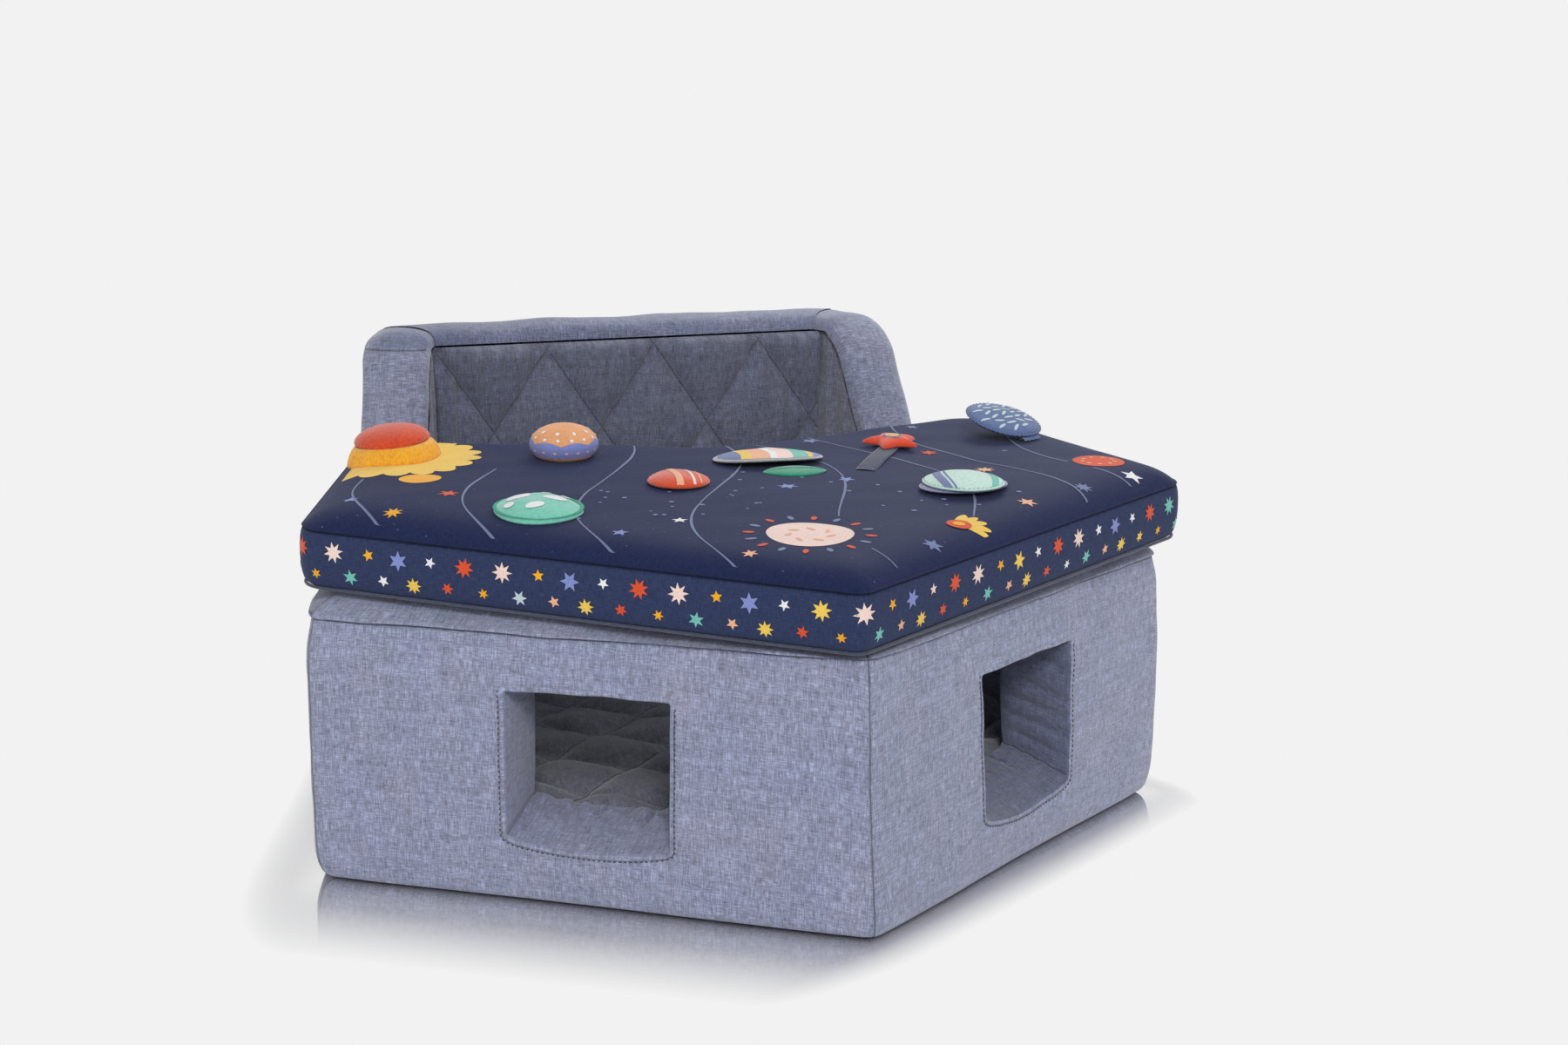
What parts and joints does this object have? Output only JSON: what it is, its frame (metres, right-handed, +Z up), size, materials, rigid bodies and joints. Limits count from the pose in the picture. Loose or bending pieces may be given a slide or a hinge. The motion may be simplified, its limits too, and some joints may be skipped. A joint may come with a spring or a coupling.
{
  "type": "baby activity seat with play tray",
  "caption": "Pentagonal foam floor seat in grey fabric with a swept backrest, foot windows, a quilted inside and a padded lift-off play tray carrying soft toys.",
  "frame": {"origin": "under the middle of the whole object, on the floor", "axes": "+X to the right, seen from the front corner; +Y from the front corner to the backrest; +Z up"},
  "size_m": [0.6614, 0.632, 0.34],
  "materials": {
    "underside": "dark non-slip woven fabric",
    "foam": "plain upholstery foam inside the covers",
    "quilt": "dark blue-grey cotton blend, diamond quilted",
    "outer_fabric": "lavender grey melange weave over wadding",
    "inner_fabric": "blue-grey melange weave",
    "window_lining": "dark blue-grey weave, pleated at the sill",
    "zip_tape": "woven zip tape with moulded teeth",
    "touch_fastener": "hook and loop tape",
    "tray_underside": "plain dark weave",
    "tray_band": "navy printed cotton with scattered stars",
    "tray_top": "navy printed cotton with lines, dots and stars",
    "big_dome_band": "yellow looped fringe",
    "big_dome_cap": "coral short-pile fabric",
    "small_dome": "peach printed fabric",
    "mint_patch": "mint printed fabric with a stitched edge",
    "coral_flap": "coral printed fabric",
    "striped_flap": "printed fabric in bands of colour",
    "green_leaf_tab": "green felt",
    "blue_pillow": "blue printed fabric with pale dashes",
    "mint_flap_backing": "violet felt",
    "mint_flap_pad": "pale mint printed fabric",
    "toy_ribbon": "navy printed cotton strip",
    "star_toy": "coral felt",
    "zip_metal": "satin grey metal"
  },
  "bodies": {
    "seat_base": {"non_slip_base": "underside", "floor_foam": "foam", "quilted_seat_mat": "quilt", "front_right_wall_foam": "foam", "front_right_wall_outer_panel": "outer_fabric", "front_right_wall_inner_panel": "inner_fabric", "front_right_wall_top_roll": "outer_fabric", "front_right_wall_window_sleeve": "window_lining", "right_side_wall_foam": "foam", "right_side_wall_outer_panel": "outer_fabric", "right_side_wall_inner_panel": "inner_fabric", "right_side_wall_top_roll": "outer_fabric", "backrest_foam": "foam", "backrest_outer_panel": "outer_fabric", "backrest_inner_panel": "inner_fabric", "backrest_top_roll": "outer_fabric", "quilted_back_pad": "quilt", "back_zip_tape": "zip_tape", "left_side_wall_foam": "foam", "left_side_wall_outer_panel": "outer_fabric", "left_side_wall_inner_panel": "inner_fabric", "left_side_wall_top_roll": "outer_fabric", "front_left_wall_foam": "foam", "front_left_wall_outer_panel": "outer_fabric", "front_left_wall_inner_panel": "inner_fabric", "front_left_wall_top_roll": "outer_fabric", "front_left_wall_window_sleeve": "window_lining", "right_loop_strip": "touch_fastener", "left_loop_strip": "touch_fastener"},
    "zip_slider": {"back_zip_slider": "zip_metal"},
    "tray": {"tray_bottom_cover": "tray_underside", "tray_foam": "foam", "tray_edge_band": "tray_band", "tray_top_cover": "tray_top", "right_hook_strip": "touch_fastener", "left_hook_strip": "touch_fastener", "big_dome_band": "big_dome_band", "big_dome_cap": "big_dome_cap", "small_dome": "small_dome", "mint_patch": "mint_patch"},
    "coral_flap": {"coral_flap": "coral_flap"},
    "striped_flap": {"striped_flap": "striped_flap"},
    "green_leaf_tab": {"green_leaf_tab": "green_leaf_tab"},
    "blue_pillow": {"blue_pillow": "blue_pillow"},
    "mint_flap": {"mint_flap_backing": "mint_flap_backing", "mint_flap_pad": "mint_flap_pad"},
    "ribbon": {"toy_ribbon": "toy_ribbon"},
    "star_toy": {"star_toy": "star_toy"}
  },
  "joints": [
    {"name": "tray_lift", "type": "slide", "parent": "seat_base", "child": "tray", "axis": [0, 0, 1], "range_m": [0, 0.15]},
    {"name": "zip_slide", "type": "slide", "parent": "seat_base", "child": "zip_slider", "axis": [1, 0, 0], "range_m": [0, 0.309]},
    {"name": "coral_flap_hinge", "type": "hinge", "parent": "tray", "child": "coral_flap", "pos_m": [-0.05902, -0.04172, 0.27201], "axis": [-1, 0, 0], "range_deg": [0, 110]},
    {"name": "striped_flap_hinge", "type": "hinge", "parent": "tray", "child": "striped_flap", "pos_m": [0.02899, 0.01633, 0.27401], "axis": [-0.9976, 0.0696, 0.004], "range_deg": [0, 110]},
    {"name": "green_leaf_hinge", "type": "hinge", "parent": "tray", "child": "green_leaf_tab", "pos_m": [0.03498, -0.04072, 0.27037], "axis": [-0.9945, 0.1044, 0.0061], "range_deg": [0, 12]},
    {"name": "blue_pillow_hinge", "type": "hinge", "parent": "tray", "child": "blue_pillow", "pos_m": [0.2524, 0.00943, 0.27439], "axis": [0.8907, 0.4546, 0.0012], "range_deg": [0, 80]},
    {"name": "mint_flap_hinge", "type": "hinge", "parent": "tray", "child": "mint_flap", "pos_m": [0.14399, -0.09758, 0.26641], "axis": [-0.9781, 0.2075, 0.013], "range_deg": [0, 95]},
    {"name": "ribbon_hinge", "type": "hinge", "parent": "tray", "child": "ribbon", "pos_m": [0.08698, -0.06166, 0.2685], "axis": [0.829, -0.5583, -0.0324], "range_deg": [0, 100]},
    {"name": "star_swivel", "type": "hinge", "parent": "ribbon", "child": "star_toy", "pos_m": [0.13619, 0.01094, 0.27671], "axis": [0, -0.0579, 0.9983], "range_deg": [-60, 60]}
  ]
}
